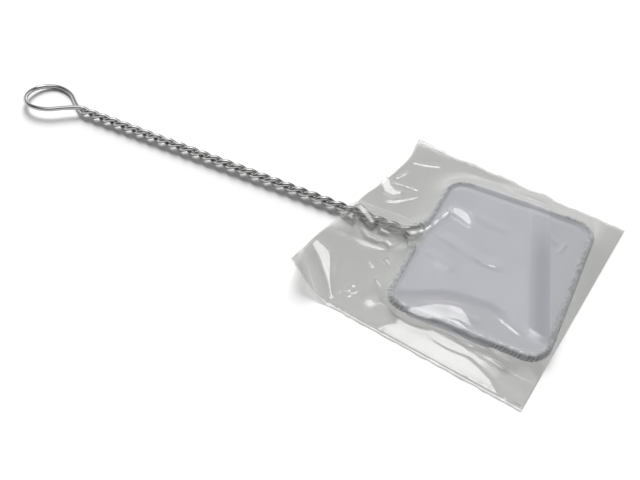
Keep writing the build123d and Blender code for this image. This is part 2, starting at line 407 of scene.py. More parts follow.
class FishNetHem(bpy.types.PropertyGroup):
    """Binding sewn round the hoop."""

    stitch_pitch: bpy.props.FloatProperty(
        name="Stitch pitch", description="Distance from one wrap of the thread to the next",
        unit="LENGTH", min=0.0005, max=0.01, default=1.5 * MM)
    thread_diameter: bpy.props.FloatProperty(
        name="Thread diameter", description="Thickness of the sewing thread",
        unit="LENGTH", min=0.0001, max=0.002, default=0.42 * MM)
    color: bpy.props.FloatVectorProperty(
        name="Hem colour", description="Colour of the binding",
        subtype="COLOR", size=4, min=0.0, max=1.0, default=(0.52, 0.53, 0.55, 1.0))


class FishNetPocket(bpy.types.PropertyGroup):
    """Folded mesh pocket."""

    mesh_pitch: bpy.props.FloatProperty(
        name="Mesh pitch", description="Distance from one hole of the net to the next",
        unit="LENGTH", min=0.0002, max=0.005, default=0.62 * MM)
    color: bpy.props.FloatVectorProperty(
        name="Net colour", description="Colour of the net's thread",
        subtype="COLOR", size=4, min=0.0, max=1.0, default=(0.762, 0.768, 0.80, 1.0))


class FishNetBag(bpy.types.PropertyGroup):
    """Clear film bag."""

    tint: bpy.props.FloatVectorProperty(
        name="Film tint", description="What one layer of the film lets through",
        subtype="COLOR", size=4, min=0.0, max=1.0, default=(0.815, 0.815, 0.808, 1.0))
    roughness: bpy.props.FloatProperty(
        name="Film roughness", description="How blurred the film's reflections are",
        subtype="FACTOR", min=0.0, max=1.0, default=0.14)
    gloss: bpy.props.FloatProperty(
        name="Film gloss", description="Share of the light that the film reflects when seen from above",
        subtype="FACTOR", min=0.0, max=1.0, default=0.045)
    haze: bpy.props.FloatProperty(
        name="Film haze", description="Share of the light that the film scatters",
        subtype="FACTOR", min=0.0, max=1.0, default=0.14)
    sag: bpy.props.FloatProperty(
        name="Film sag", description="How much the slack film curves down, per millimetre",
        min=0.0, max=0.2, default=0.004)


class FishNetStage(bpy.types.PropertyGroup):
    """Floor, lamps, room and camera."""

    lens: bpy.props.FloatProperty(
        name="Lens", description="Focal length on a sensor 36 mm wide",
        min=10.0, max=200.0, default=44.475)
    azimuth: bpy.props.FloatProperty(
        name="Camera azimuth", description="Direction that the camera looks from",
        subtype="ANGLE", default=math.radians(27.266))
    elevation: bpy.props.FloatProperty(
        name="Camera elevation", description="How far down the camera looks",
        subtype="ANGLE", default=math.radians(49.187))
    position: bpy.props.FloatVectorProperty(
        name="Camera position", description="Where the camera stands",
        subtype="TRANSLATION", size=3, default=(31.03 * MM, -218.14 * MM, 258.57 * MM))
    key_azimuth: bpy.props.FloatProperty(
        name="Key azimuth", description="Direction of the main lamp, to the left of straight behind",
        subtype="ANGLE", default=math.radians(30.0))
    key_elevation: bpy.props.FloatProperty(
        name="Key elevation", description="Height of the main lamp, as an angle",
        subtype="ANGLE", default=math.radians(43.0))
    key_spread: bpy.props.FloatProperty(
        name="Key spread", description="Size of the main lamp, as the angle of its radius",
        subtype="ANGLE", default=math.radians(17.0))
    key_level: bpy.props.FloatProperty(
        name="Key level", description="Brightness of a white floor under the main lamp alone",
        default=0.735)
    rim_azimuth: bpy.props.FloatProperty(
        name="Rim azimuth", description="Direction of the small lamp, to the left of straight behind",
        subtype="ANGLE", default=math.radians(18.0))
    rim_elevation: bpy.props.FloatProperty(
        name="Rim elevation", description="Height of the small lamp, as an angle",
        subtype="ANGLE", default=math.radians(64.0))
    rim_spread: bpy.props.FloatProperty(
        name="Rim spread", description="Size of the small lamp, as the angle of its radius",
        subtype="ANGLE", default=math.radians(7.0))
    rim_level: bpy.props.FloatProperty(
        name="Rim level", description="Brightness of a white floor under the small lamp alone",
        default=0.11)
    room_level: bpy.props.FloatProperty(
        name="Room level", description="Brightness of the wall behind the net", default=0.45)
    ceiling_level: bpy.props.FloatProperty(
        name="Ceiling level", description="Brightness of the white ceiling that shiny pieces show",
        default=1.9)
    floor_color: bpy.props.FloatVectorProperty(
        name="Floor colour", description="Colour of the floor",
        subtype="COLOR", size=4, min=0.0, max=1.0, default=(0.95, 0.95, 0.95, 1.0))


def new_object(name, points, faces):
    """A smooth mesh piece from points in millimetres."""
    mesh = bpy.data.meshes.new(name)
    mesh.from_pydata((np.asarray(points) * MM).tolist(), [], faces)
    mesh.update()
    mesh.polygons.foreach_set("use_smooth", [True] * len(mesh.polygons))
    piece = bpy.data.objects.new(name, mesh)
    bpy.context.scene.collection.objects.link(piece)
    return piece


def grid_faces(rows, columns, first=0, turned=False):
    """Quads of a grid whose points run along the columns first."""
    corner = first + np.arange(rows - 1)[:, None] * columns + np.arange(columns - 1)[None, :]
    quads = np.stack([corner, corner + 1, corner + columns + 1, corner + columns], axis=-1).reshape(-1, 4)
    if turned:
        quads = quads[:, ::-1]
    return quads.tolist()


def smooth_line(points, steps=12):
    """Points along a smooth curve through the given ones."""
    points = np.array(points, float)
    padded = np.vstack([2 * points[0] - points[1], points, 2 * points[-1] - points[-2]])
    share = np.linspace(0, 1, steps, endpoint=False)[:, None]
    runs = []
    for before, start, end, after in zip(padded, padded[1:], padded[2:], padded[3:]):
        runs.append(0.5 * (2 * start + (end - before) * share
                           + (2 * before - 5 * start + 4 * end - after) * share**2
                           + (3 * start - before - 3 * end + after) * share**3))
    return np.vstack(runs + [points[-1:]])


def edge_at(points, places):
    """The second coordinate of a smooth edge at places along its first one."""
    line = smooth_line(points)
    return np.interp(places, line[:, 0], line[:, 1])


def eased(value):
    """Zero below 0 and one above 1, with a soft step between."""
    value = np.clip(value, 0, 1)
    return value * value * (3 - 2 * value)


def soft_max(first, second, width):
    """The higher of two heights, with the corner between them rounded."""
    return 0.5 * (first + second + np.sqrt((first - second) ** 2 + width**2)) - 0.25 * width


def ridge_height(x, y, ridge):
    """Height of a ridge whose near flank lies to the right of its path and whose ends run out."""
    line = smooth_line(ridge["path"])
    start, run = line[:-1], np.diff(line, axis=0)
    length = np.hypot(run[:, 0], run[:, 1])
    gone = np.concatenate([[0], np.cumsum(length)])
    best = np.full(x.shape, np.inf)
    side = np.zeros(x.shape)
    share = np.zeros(x.shape)
    for index in range(len(start)):
        off_x, off_y = x - start[index, 0], y - start[index, 1]
        step = (off_x * run[index, 0] + off_y * run[index, 1]) / length[index] ** 2
        step = np.clip(step, 0, 1)
        away = np.hypot(off_x - step * run[index, 0], off_y - step * run[index, 1])
        nearer = away < best
        best = np.where(nearer, away, best)
        turn = run[index, 0] * off_y - run[index, 1] * off_x
        side = np.where(nearer, turn, side)
        share = np.where(nearer, (gone[index] + step * length[index]) / gone[-1], share)
    flank = np.where(side < 0, ridge["near"], ridge["far"])
    fade = eased(share / RIDGE_RUN_OUT) * eased((1 - share) / RIDGE_RUN_OUT)
    return ridge["height"] * fade * np.clip(1 - best / flank, 0, 1)


def inside_outline(x, y, outline, softness):
    """One well inside an outline and zero outside it, with a soft edge."""
    corners = np.array(outline, float)
    best = np.full(x.shape, np.inf)
    within = np.zeros(x.shape, bool)
    for start, end in zip(corners, np.roll(corners, -1, axis=0)):
        run = end - start
        off_x, off_y = x - start[0], y - start[1]
        step = np.clip((off_x * run[0] + off_y * run[1]) / (run @ run), 0, 1)
        best = np.minimum(best, np.hypot(off_x - step * run[0], off_y - step * run[1]))
        spans = (start[1] > y) != (end[1] > y)
        rise = run[1] if run[1] else 1e-9
        within ^= spans & (off_x < run[0] * off_y / rise)
    return eased(0.5 + np.where(within, best, -best) / softness)


def value_noise(x, y, pitch, seed):
    """Soft random waves between -1 and 1 with a given pitch, which repeat after a number of cells."""
    count = 64
    cells = np.random.default_rng(seed).uniform(-1, 1, (count, count))
    x, y = x / pitch, y / pitch
    left, low = np.floor(x).astype(int), np.floor(y).astype(int)
    ease_x, ease_y = eased(x - left), eased(y - low)
    corner = [[cells[(left + i) % count, (low + j) % count] for j in (0, 1)] for i in (0, 1)]
    near = corner[0][0] * (1 - ease_x) + corner[1][0] * ease_x
    far = corner[0][1] * (1 - ease_x) + corner[1][1] * ease_x
    return near * (1 - ease_y) + far * ease_y


def waves(x, y, height, pitch, seed):
    """Soft random waves of a given height."""
    return height * value_noise(x, y, pitch, seed)


def node(tree, kind, inputs=None, **settings):
    """A node with its settings, whose inputs are given as values or as sockets to link."""
    made = tree.nodes.new(kind)
    for key, value in settings.items():
        setattr(made, key, value)
    for key, value in (inputs or {}).items():
        if isinstance(value, bpy.types.NodeSocket):
            tree.links.new(value, made.inputs[key])
        else:
            made.inputs[key].default_value = value
    return made


def math_node(tree, operation, first, second=0.0):
    """The result of one sum on sockets or numbers."""
    return node(tree, "ShaderNodeMath", {0: first, 1: second}, operation=operation).outputs[0]


def new_material(name):
    """An empty node material and its tree."""
    material = bpy.data.materials.new(name)
    material.use_nodes = True
    material.node_tree.nodes.clear()
    return material, material.node_tree


def object_pattern(tree, scale):
    """Object coordinates, stretched by a scale on each axis."""
    place = node(tree, "ShaderNodeTexCoord").outputs["Object"]
    return node(tree, "ShaderNodeMapping", {"Vector": place, "Scale": scale}).outputs["Vector"]


def noise(tree, vector, scale, detail=3.0, roughness=0.5):
    """The grey of a noise pattern."""
    inputs = {"Vector": vector, "Scale": scale, "Detail": detail, "Roughness": roughness}
    return node(tree, "ShaderNodeTexNoise", inputs).outputs["Fac"]


def ramp(tree, value, low, high, low_to, high_to):
    """A value mapped from one range to another."""
    inputs = {"Value": value, "From Min": low, "From Max": high, "To Min": low_to, "To Max": high_to}
    return node(tree, "ShaderNodeMapRange", inputs).outputs["Result"]


def color_mix(tree, share, first, second):
    """Two colours mixed by a share."""
    made = node(tree, "ShaderNodeMix", data_type="RGBA")
    for socket, value in (("Factor_Float", share), ("A_Color", first), ("B_Color", second)):
        found = next(entry for entry in made.inputs if entry.identifier == socket)
        if isinstance(value, bpy.types.NodeSocket):
            tree.links.new(value, found)
        else:
            found.default_value = value
    return next(entry for entry in made.outputs if entry.identifier == "Result_Color")


def shaded(color, share):
    """A colour made darker or lighter."""
    return (*(min(1.0, part * share) for part in color[:3]), 1.0)


def bumped(tree, strength, depth, height):
    """The normal of a surface with a fine relief, whose depth is in millimetres."""
    inputs = {"Strength": strength, "Distance": depth * MM, "Height": height}
    return node(tree, "ShaderNodeBump", inputs).outputs["Normal"]


def mixed(tree, share, first, second):
    """Two shaders mixed by a share of the second."""
    return node(tree, "ShaderNodeMixShader", {"Fac": share, 1: first.outputs[0], 2: second.outputs[0]})


def show_surface(tree, shader):
    """Ends a material's tree in its shader."""
    node(tree, "ShaderNodeOutputMaterial", {"Surface": shader.outputs[0]})


def plated_wire_material(settings):
    """Bright plated steel with faint drawing marks along the wire."""
    material, tree = new_material("plated_wire")
    drawn = noise(tree, object_pattern(tree, (120, 2600, 2600)), 1.0, 3.0)
    cloudy = noise(tree, object_pattern(tree, (160, 160, 160)), 1.0, 2.0)
    dull = math_node(tree, "MULTIPLY", ramp(tree, drawn, 0.3, 0.7, 0.8, 1.25), settings.roughness)
    color = color_mix(tree, cloudy, shaded(settings.color, 0.88), shaded(settings.color, 1.1))
    inputs = {"Base Color": color, "Metallic": 1.0, "Roughness": dull,
              "Normal": bumped(tree, 0.08, 0.05, drawn)}
    show_surface(tree, node(tree, "ShaderNodeBsdfPrincipled", inputs))
    return material


def hem_material(settings):
    """Soft mottled binding cloth."""
    material, tree = new_material("hem_cloth")
    fluff = noise(tree, object_pattern(tree, (1500, 1500, 1500)), 1.0, 4.0, 0.65)
    blotch = noise(tree, object_pattern(tree, (420, 420, 420)), 1.0, 2.0)
    mottle = ramp(tree, math_node(tree, "ADD", fluff, blotch), 0.75, 1.3, 0.0, 1.0)
    color = color_mix(tree, mottle, shaded(settings.color, 0.62), shaded(settings.color, 1.25))
    inputs = {"Base Color": color, "Roughness": 0.92, "Sheen Weight": 0.25, "Subsurface Weight": 0.6,
              "Subsurface Radius": (1.0, 1.0, 1.0), "Subsurface Scale": 1.2 * MM,
              "Normal": bumped(tree, 0.7, 0.3, fluff)}
    show_surface(tree, node(tree, "ShaderNodeBsdfPrincipled", inputs))
    return material


def thread_material(settings):
    """Spun sewing thread."""
    material, tree = new_material("hem_thread")
    spun = noise(tree, object_pattern(tree, (2600, 2600, 2600)), 1.0, 2.0)
    color = color_mix(tree, spun, shaded(settings.color, 1.05), shaded(settings.color, 1.55))
    inputs = {"Base Color": color, "Roughness": 0.8, "Sheen Weight": 0.2,
              "Normal": bumped(tree, 0.4, 0.1, spun)}
    show_surface(tree, node(tree, "ShaderNodeBsdfPrincipled", inputs))
    return material


def net_material(settings):
    """Fine white mesh: threads with small holes, darker where several layers lie together and where shade
    is painted.
    """
    material, tree = new_material("net_mesh")
    turns = 2 * math.pi / settings.mesh_pitch
    place = node(tree, "ShaderNodeTexCoord").outputs["Object"]
    axes = node(tree, "ShaderNodeSeparateXYZ", {"Vector": place})
    wave_x = math_node(tree, "SINE", math_node(tree, "MULTIPLY", axes.outputs["X"], turns))
    wave_y = math_node(tree, "SINE", math_node(tree, "MULTIPLY", axes.outputs["Y"], turns))
    weave = math_node(tree, "MULTIPLY", wave_x, wave_y)
    layers = node(tree, "ShaderNodeAttribute", attribute_name="layers").outputs["Fac"]
    clouds = noise(tree, object_pattern(tree, (90, 90, 90)), 1.0, 3.0)
    pale = color_mix(tree, clouds, shaded(settings.color, 0.95), shaded(settings.color, 1.06))
    # Darker colour where layers lie together, also carrying painted shade at the flap's edge and fold
    darker_tone = (settings.color[0] * 0.72, settings.color[1] * 0.715, settings.color[2] * 0.76, 1.0)
    look = {"Color": color_mix(tree, layers, pale, darker_tone), "Normal": bumped(tree, 0.35, 0.1, weave)}
    cloth = node(tree, "ShaderNodeBsdfDiffuse", look)
    through = node(tree, "ShaderNodeBsdfTranslucent", look)
    hole = node(tree, "ShaderNodeBsdfTransparent", {"Color": (0.97, 0.97, 1.0, 1.0)})
    solid = math_node(tree, "ADD", ramp(tree, weave, -0.6, 0.7, 0.9, 0.28), layers)
    solid = math_node(tree, "MINIMUM", solid, 1.0)
    show_surface(tree, mixed(tree, solid, hole, mixed(tree, 0.3, cloth, through)))
    return material


def film_material(name, settings, tint_share, darker_tone_share, roughness, crinkle, milky=1.0):
    """Clear polythene: tinted, slightly milky film under a gloss that grows towards its edges."""
    material, tree = new_material(name)
    facing = node(tree, "ShaderNodeLayerWeight", {"Blend": 0.5}).outputs["Facing"]
    grazing = math_node(tree, "POWER", facing, 6.0)
    gloss = math_node(tree, "ADD", math_node(tree, "MULTIPLY", grazing, 0.45), settings.gloss)
    relief = noise(tree, object_pattern(tree, (140, 140, 140)), 1.0, 4.0, 0.55)
    # Darker tint where stored: painted shade on the film standing up at the mouth, and the welds' outer
    # edge
    darker_tone = node(tree, "ShaderNodeAttribute", attribute_name="darker_tone").outputs["Fac"]
    tint = color_mix(tree, darker_tone, shaded(settings.tint, tint_share), shaded(settings.tint, darker_tone_share))
    clear = node(tree, "ShaderNodeBsdfTransparent", {"Color": tint})
    shine = node(tree, "ShaderNodeBsdfGlossy", {"Color": (1.0, 1.0, 1.0, 1.0), "Roughness": roughness,
                                                "Normal": bumped(tree, crinkle, 0.4, relief)})
    white = {"Color": (0.9, 0.9, 0.9, 1.0)}
    milk = mixed(tree, 0.5, node(tree, "ShaderNodeBsdfDiffuse", white),
                 node(tree, "ShaderNodeBsdfTranslucent", white))
    crumpled = node(tree, "ShaderNodeAttribute", attribute_name="crumpled").outputs["Fac"]
    plain = settings.haze * milky
    haze = ramp(tree, crumpled, 0.0, 1.0, plain, plain * CRUMPLED_HAZE)
    show_surface(tree, mixed(tree, gloss, mixed(tree, haze, clear, milk), shine))
    return material


def floor_material(settings):
    """Plain matt white floor."""
    material, tree = new_material("floor_white")
    grain = noise(tree, object_pattern(tree, (40, 40, 40)), 1.0, 2.0)
    color = color_mix(tree, grain, shaded(settings.floor_color, 0.995), settings.floor_color)
    show_surface(tree, node(tree, "ShaderNodeBsdfDiffuse", {"Color": color}))
    return material


def tree_with_inputs(name, inputs):
    """A geometry node tree, its input sockets by name and the socket of its geometry."""
    tree = bpy.data.node_groups.new(name, "GeometryNodeTree")
    sockets = {"Geometry": tree.interface.new_socket("Geometry", in_out="INPUT",
                                                     socket_type="NodeSocketGeometry")}
    for label, kind in inputs.items():
        sockets[label] = tree.interface.new_socket(label, in_out="INPUT", socket_type="NodeSocket" + kind)
    tree.interface.new_socket("Geometry", in_out="OUTPUT", socket_type="NodeSocketGeometry")
    entry = node(tree, "NodeGroupInput")
    return tree, sockets, entry.outputs


def finish_tree(tree, geometry, material):
    """Ends a tree in real geometry with its material."""
    real = node(tree, "GeometryNodeRealizeInstances", {"Geometry": geometry})
    painted = node(tree, "GeometryNodeSetMaterial",
                   {"Geometry": real.outputs["Geometry"], "Material": material})
    node(tree, "NodeGroupOutput", {"Geometry": painted.outputs["Geometry"]})


def grown_piece(name, start, tree, sockets, values):
    """A plain mesh piece made by a tree on a starting object, which is removed."""
    modifier = start.modifiers.new("grow", "NODES")
    modifier.node_group = tree
    for label, value in values.items():
        modifier[sockets[label].identifier] = value
    ready = start.evaluated_get(bpy.context.evaluated_depsgraph_get())
    mesh = bpy.data.meshes.new_from_object(ready)
    start.modifiers.remove(modifier)
    bpy.data.objects.remove(start)
    mesh.name = name
    piece = bpy.data.objects.new(name, mesh)
    bpy.context.scene.collection.objects.link(piece)
    return piece


def line_object(name, points):
    """A line of edges through points in millimetres."""
    mesh = bpy.data.meshes.new(name)
    edges = [(index, index + 1) for index in range(len(points) - 1)]
    mesh.from_pydata((np.asarray(points, float) * MM).tolist(), edges, [])
    line = bpy.data.objects.new(name, mesh)
    bpy.context.scene.collection.objects.link(line)
    return line


def arc_points(center, radius, start, end, steps=14):
    """Points along an arc at the level of the hoop, with its angles in degrees."""
    angles = np.radians(np.linspace(start, end, steps))
    level = np.full(steps, AXIS_HEIGHT)
    x, y = center[0] + radius * np.cos(angles), center[1] + radius * np.sin(angles)
    return np.stack([x, y, level], axis=1)


def hoop_line():
    """Centre line of the hoop inside the hem, from the far side of the neck round to the near side."""
    bend = math.degrees(math.pi / 2 - HEM_START_HEADING)
    inner_x, inner_y = HOOP_X - CORNER_RADIUS, HOOP_Y - CORNER_RADIUS
    return np.vstack([
        arc_points((NECK_BEND_X, NECK_BEND_Y), NECK_BEND_RADIUS, -bend, 0),
        arc_points((-inner_x, inner_y), CORNER_RADIUS, 180, 90),
        arc_points((inner_x, inner_y), CORNER_RADIUS, 90, 0),
        arc_points((inner_x, -inner_y), CORNER_RADIUS, 0, -90),
        arc_points((-inner_x, -inner_y), CORNER_RADIUS, 270, 180),
        arc_points((NECK_BEND_X, -NECK_BEND_Y), NECK_BEND_RADIUS, 0, bend),
    ])


def hoop_distance(x, y):
    """Distance outwards from the hoop's rounded rectangle, negative inside it."""
    off_x = np.abs(x) - (HOOP_X - CORNER_RADIUS)
    off_y = np.abs(y) - (HOOP_Y - CORNER_RADIUS)
    outside = np.hypot(np.maximum(off_x, 0), np.maximum(off_y, 0))
    return outside + np.minimum(np.maximum(off_x, off_y), 0) - CORNER_RADIUS


def round_section(tree, sides, diameter):
    """A circle to sweep along a curve."""
    inputs = {"Resolution": sides, "Radius": math_node(tree, "MULTIPLY", diameter, 0.5)}
    return node(tree, "GeometryNodeCurvePrimitiveCircle", inputs).outputs["Curve"]


def swept(tree, curve, section, capped):
    """The mesh of a section swept along a curve."""
    inputs = {"Curve": curve, "Profile Curve": section, "Fill Caps": capped}
    return node(tree, "GeometryNodeCurveToMesh", inputs).outputs["Mesh"]


def shaded_smooth(tree, geometry):
    """The geometry, shaded smooth."""
    return node(tree, "GeometryNodeSetShadeSmooth", {"Geometry": geometry}).outputs["Geometry"]


def strand_tree():
    """Two wires wound round one another along the handle."""
    tree, sockets, given = tree_with_inputs("twisted_strands", {
        "Wire Diameter": "Float", "Strand Radius": "Float", "Twist Length": "Float",
        "Twist Angle": "Float", "First Angle": "Float", "Start": "Float", "Axis Height": "Float",
        "Steps": "Int", "Sides": "Int", "Material": "Material"})
    line = node(tree, "GeometryNodeCurvePrimitiveLine", {"End": (1.0, 0.0, 0.0)})
    steps = node(tree, "GeometryNodeResampleCurve",
                 {"Curve": line.outputs["Curve"], "Count": given["Steps"]})
    share = node(tree, "GeometryNodeSplineParameter").outputs["Factor"]
    gone = math_node(tree, "MULTIPLY", share, given["Twist Length"])
    along = math_node(tree, "ADD", gone, given["Start"])
    turned = math_node(tree, "SUBTRACT", given["First Angle"],
                       math_node(tree, "MULTIPLY", share, given["Twist Angle"]))
    section = round_section(tree, given["Sides"], given["Wire Diameter"])
    joined = node(tree, "GeometryNodeJoinGeometry")
    for phase in (0.0, math.pi):
        angle = math_node(tree, "ADD", turned, phase)
        side = math_node(tree, "MULTIPLY", math_node(tree, "COSINE", angle), given["Strand Radius"])
        lift = math_node(tree, "MULTIPLY", math_node(tree, "SINE", angle), given["Strand Radius"])
        height = math_node(tree, "ADD", lift, given["Axis Height"])
        spot = node(tree, "ShaderNodeCombineXYZ", {"X": along, "Y": side, "Z": height})
        helix = node(tree, "GeometryNodeSetPosition",
                     {"Geometry": steps.outputs["Curve"], "Position": spot.outputs["Vector"]})
        wire = swept(tree, helix.outputs["Geometry"], section, True)
        tree.links.new(shaded_smooth(tree, wire), joined.inputs["Geometry"])
    finish_tree(tree, joined.outputs["Geometry"], given["Material"])
    return tree, sockets


def sleeve_tree():
    """A soft uneven sleeve along a line."""
    tree, sockets, given = tree_with_inputs("hem_sleeve", {
        "Diameter": "Float", "Step": "Float", "Unevenness": "Float", "Sides": "Int",
        "Material": "Material"})
    curve = node(tree, "GeometryNodeMeshToCurve", {"Mesh": given["Geometry"]})
    steps = node(tree, "GeometryNodeResampleCurve",
                 {"Curve": curve.outputs["Curve"], "Length": given["Step"]}, mode="LENGTH")
    section = round_section(tree, given["Sides"], given["Diameter"])
    tube = swept(tree, steps.outputs["Curve"], section, True)
    place = node(tree, "GeometryNodeInputPosition").outputs["Position"]
    lumps = node(tree, "ShaderNodeTexNoise", {"Vector": place, "Scale": 520.0, "Detail": 2.0})
    swell = math_node(tree, "MULTIPLY", math_node(tree, "SUBTRACT", lumps.outputs["Fac"], 0.62),
                      given["Unevenness"])
    outward = node(tree, "GeometryNodeInputNormal").outputs["Normal"]
    shift = node(tree, "ShaderNodeVectorMath", {0: outward, "Scale": swell}, operation="SCALE")
    lumpy = node(tree, "GeometryNodeSetPosition", {"Geometry": tube, "Offset": shift.outputs["Vector"]})
    finish_tree(tree, shaded_smooth(tree, lumpy.outputs["Geometry"]), given["Material"])
    return tree, sockets


def stitch_tree():
    """Slanted wraps of thread along a line."""
    tree, sockets, given = tree_with_inputs("hem_stitches", {
        "Wrap Diameter": "Float", "Thread Diameter": "Float", "Pitch": "Float", "Slant": "Float",
        "Seed": "Int", "Material": "Material"})
    curve = node(tree, "GeometryNodeMeshToCurve", {"Mesh": given["Geometry"]})
    spots = node(tree, "GeometryNodeCurveToPoints",
                 {"Curve": curve.outputs["Curve"], "Length": given["Pitch"]}, mode="LENGTH")
    ring = round_section(tree, 14, given["Wrap Diameter"])
    wrap = swept(tree, ring, round_section(tree, 5, given["Thread Diameter"]), False)
    uneven = node(tree, "FunctionNodeRandomValue", {"Min": 0.75, "Max": 1.25, "Seed": given["Seed"]},
                  data_type="FLOAT")
    lean = math_node(tree, "MULTIPLY", uneven.outputs[1], given["Slant"])
    turn = node(tree, "ShaderNodeCombineXYZ", {"X": lean})
    slanted = node(tree, "FunctionNodeRotateRotation",
                   {"Rotation": spots.outputs["Rotation"], "Rotate By": turn.outputs["Vector"]},
                   rotation_space="LOCAL")
    placed = node(tree, "GeometryNodeInstanceOnPoints",
                  {"Points": spots.outputs["Points"], "Instance": shaded_smooth(tree, wrap),
                   "Rotation": slanted.outputs["Rotation"]})
    finish_tree(tree, placed.outputs["Instances"], given["Material"])
    return tree, sockets


def fold_right(y):
    """Right edge of the rolled fold, which slants across the hoop."""
    return FOLD_RIGHT_X - FOLD_DRIFT * y


def round_top(away, radius):
    """Height of a round piece on the hoop's level, at a distance from its middle line."""
    return AXIS_HEIGHT + np.sqrt(np.maximum(radius**2 - np.minimum(np.abs(away), radius) ** 2, 0))


def rail_groove(x, y):
    """Depth of the dip in the net just inside the far rail."""
    out = hoop_distance(x, y) + GROOVE_PLACE
    flank = np.where(out > 0, *GROOVE_FLANKS)
    return GROOVE_DEPTH * eased(1 - np.abs(out) / flank) * eased((y - GROOVE_START_Y) / GROOVE_EASE)


def laid_net(x, y, level, wave, ridges):
    """Height of a layer that sags inside the hoop, with its waves and ridges."""
    sag = NET_SAG * np.clip(-hoop_distance(x, y) / NET_SAG_REACH, 0, 1)
    height = level - sag + waves(x, y, *wave) - rail_groove(x, y)
    for ridge in ridges:
        height = height + ridge_height(x, y, ridge)
    return height


def layer_height(x, y):
    """Top of the net's lower layer, which leaves the hem's inner side and covers the near rail."""
    out = hoop_distance(x, y)
    height = laid_net(x, y, LAYER_HEIGHT, LAYER_WAVE, LAYER_RIDGES)
    over_hem = round_top(out, LAYER_COVER)
    apron = HEM_TOP + APRON_RISE - np.maximum(out - APRON_TOP_WIDTH, 0)
    over_hem = np.where((out > 0) & (y < 0), np.maximum(apron, over_hem), over_hem)
    on_edge = np.maximum(np.where(out > -LAYER_EDGE, 0, height), over_hem)
    return np.where(out > -LAYER_COVER, on_edge, height)


def flap_height(x, y):
    """Top of the upper layer, with its waves, its rolled fold and its way over the far rail."""
    to_fold = fold_right(y) - x
    out = hoop_distance(x, y)
    height = laid_net(x, y, FLAP_HEIGHT, FLAP_WAVE, FLAP_RIDGES)
    roll = eased((FOLD_WIDTH + FOLD_LIP - to_fold) / FOLD_EASE)
    crown = FOLD_CROWN * np.sin(np.pi * np.clip(to_fold / FOLD_WIDTH, 0, 1))
    height = height + roll * (FOLD_RISE + crown)
    from_edge = y - edge_at(FLAP_NEAR, x)
    height = height - FLAP_EDGE_DROP * (1 - eased(from_edge / FLAP_EDGE_REACH))
    over_hem = round_top(out, FLAP_COVER)
    return np.where(out > 0, over_hem, np.maximum(height, over_hem))


def pocket_top(x, y):
    """Top of the folded pocket inside the hoop."""
    top = layer_height(x, y)
    within_x = (x > FLAP_LEFT_X) & (x < fold_right(y))
    within_y = (y > edge_at(FLAP_NEAR, x)) & (y < edge_at(FLAP_FAR, x))
    return np.where(within_x & within_y, np.maximum(top, flap_height(x, y)), top)


def lower_layer_points(rows):
    """Grid of the lower layer, squared off over the hoop and drawn over the near rail."""
    share = np.linspace(-1, 1, rows)
    square_x, square_y = np.meshgrid(share, share)
    reach = np.maximum(np.maximum(np.abs(square_x), np.abs(square_y)), 1e-9)
    outer_x, outer_y = HOOP_X - LAYER_EDGE, HOOP_Y - LAYER_EDGE
    radius = CORNER_RADIUS - LAYER_EDGE
    edge_x, edge_y = square_x / reach * outer_x, square_y / reach * outer_y
    core_x = np.clip(edge_x, -outer_x + radius, outer_x - radius)
    core_y = np.clip(edge_y, -outer_y + radius, outer_y - radius)
    away = np.maximum(np.hypot(edge_x - core_x, edge_y - core_y), 1e-9)
    x = (core_x + (edge_x - core_x) / away * radius) * reach
    y = (core_y + (edge_y - core_y) / away * radius) * reach
    apron = eased((x - APRON_LEFT_X) / APRON_SIDE_EASE) * eased((APRON_RIGHT_X - x) / APRON_SIDE_EASE)
    apron = apron * eased((APRON_START_Y - y) / APRON_EASE)
    y = y - (LAYER_EDGE + APRON_REACH + waves(x, 0 * x, *APRON_WAVE)) * apron
    return np.stack([x, y, layer_height(x, y)], axis=-1).reshape(-1, 3)


def flap_points(rows, columns):
    """Grid of the upper layer: its top from left to right, round the fold and back under it."""
    across = np.linspace(0, 1, rows)[:, None]
    along = np.linspace(0, 1, columns)[None, :]
    # A first guess of the near and far edges, which the passes after it bring to the outline
    first_near, first_far = -30, 38
    y = first_near + (first_far - first_near) * across + 0 * along
    for _ in range(6):
        x = FLAP_LEFT_X + (fold_right(y) - FOLD_EDGE_RADIUS - FLAP_LEFT_X) * along
        y = edge_at(FLAP_NEAR, x) * (1 - across) + edge_at(FLAP_FAR, x) * across
    top = flap_height(x, y)
    sheet = [np.stack([x, y, top], axis=-1)]
    last_x, last_y, last_top = x[:, -1:], y[:, -1:], top[:, -1:]
    turn = np.linspace(0, math.pi, 9)[None, 1:]
    drop = last_top - layer_height(last_x, last_y) - FLAP_GAP
    round_x = last_x + FOLD_EDGE_RADIUS * np.sin(turn)
    round_z = last_top - drop * (1 - np.cos(turn)) / 2
    sheet.append(np.stack([round_x, last_y + 0 * turn, round_z], axis=-1))
    back = np.linspace(0, FOLD_RETURN, 8)[None, 1:]
    flat_z = last_top - drop + 0 * back
    sheet.append(np.stack([last_x - back, last_y + 0 * back, flat_z], axis=-1))
    return np.concatenate(sheet, axis=1)


def edge_shade(x, away, reach):
    """Shade along the flap's near edge, which fades away from it and towards the fold."""
    return (1 - eased(away / reach)) * eased((EDGE_SHADE_X - x) / EDGE_SHADE_EASE)


def layer_density_and_shade(x, y):
    """Density of the lower layer: painted shade below the flap's edge, and less over the near rail."""
    below_flap = edge_at(FLAP_NEAR, x) - y
    # Painted shade on the lower layer just below the flap's near edge
    shade = (below_flap > 0) * edge_shade(x, below_flap, EDGE_SHADE_REACH["layer"])
    over_rail = eased((RAIL_START_Y - y) / RAIL_EASE)
    return LAYER_DENSITY_AND_SHADE["plain"] - LAYER_DENSITY_AND_SHADE["rail"] * over_rail + LAYER_DENSITY_AND_SHADE["edge"] * shade


